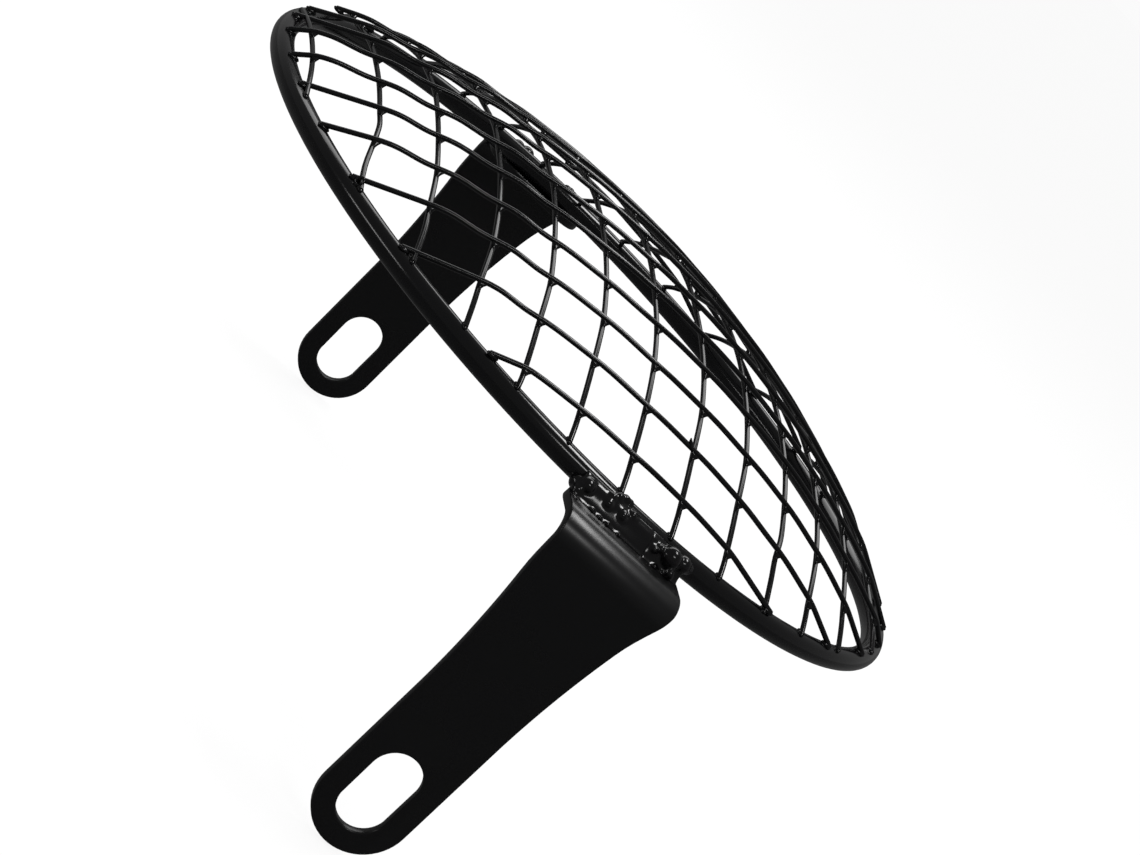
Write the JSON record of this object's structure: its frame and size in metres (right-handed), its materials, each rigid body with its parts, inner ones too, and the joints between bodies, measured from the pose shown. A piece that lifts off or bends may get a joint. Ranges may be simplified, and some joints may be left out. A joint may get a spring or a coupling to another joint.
{
  "type": "motorcycle headlight guard",
  "caption": "Domed wire-mesh stone guard for a round motorcycle headlight, on a rod ring with slotted side brackets.",
  "frame": {"origin": "centre of the ring, in the plane of the rod's centre line", "axes": "+Z forwards, out of the dome and away from the headlight; +X from one bracket to the other, along the bolts; the legs run towards -Z"},
  "size_m": [0.199, 0.1746, 0.1003],
  "materials": {
    "black_coat": "gloss"
  },
  "bodies": {
    "root": {"inner_wire_01": "black_coat", "inner_wire_02": "black_coat", "inner_wire_03": "black_coat", "inner_wire_04": "black_coat", "inner_wire_05": "black_coat", "inner_wire_06": "black_coat", "inner_wire_07": "black_coat", "inner_wire_08": "black_coat", "inner_wire_09": "black_coat", "inner_wire_10": "black_coat", "inner_wire_11": "black_coat", "inner_wire_12": "black_coat", "inner_wire_13": "black_coat", "left_bracket": "black_coat", "left_weld_front": "black_coat", "left_weld_rear": "black_coat", "outer_wire_01": "black_coat", "outer_wire_02": "black_coat", "outer_wire_03": "black_coat", "outer_wire_04": "black_coat", "outer_wire_05": "black_coat", "outer_wire_06": "black_coat", "outer_wire_07": "black_coat", "outer_wire_08": "black_coat", "outer_wire_09": "black_coat", "outer_wire_10": "black_coat", "outer_wire_11": "black_coat", "outer_wire_12": "black_coat", "right_bracket": "black_coat", "right_weld_front": "black_coat", "right_weld_rear": "black_coat", "rim_ring": "black_coat"}
  },
  "joints": []
}
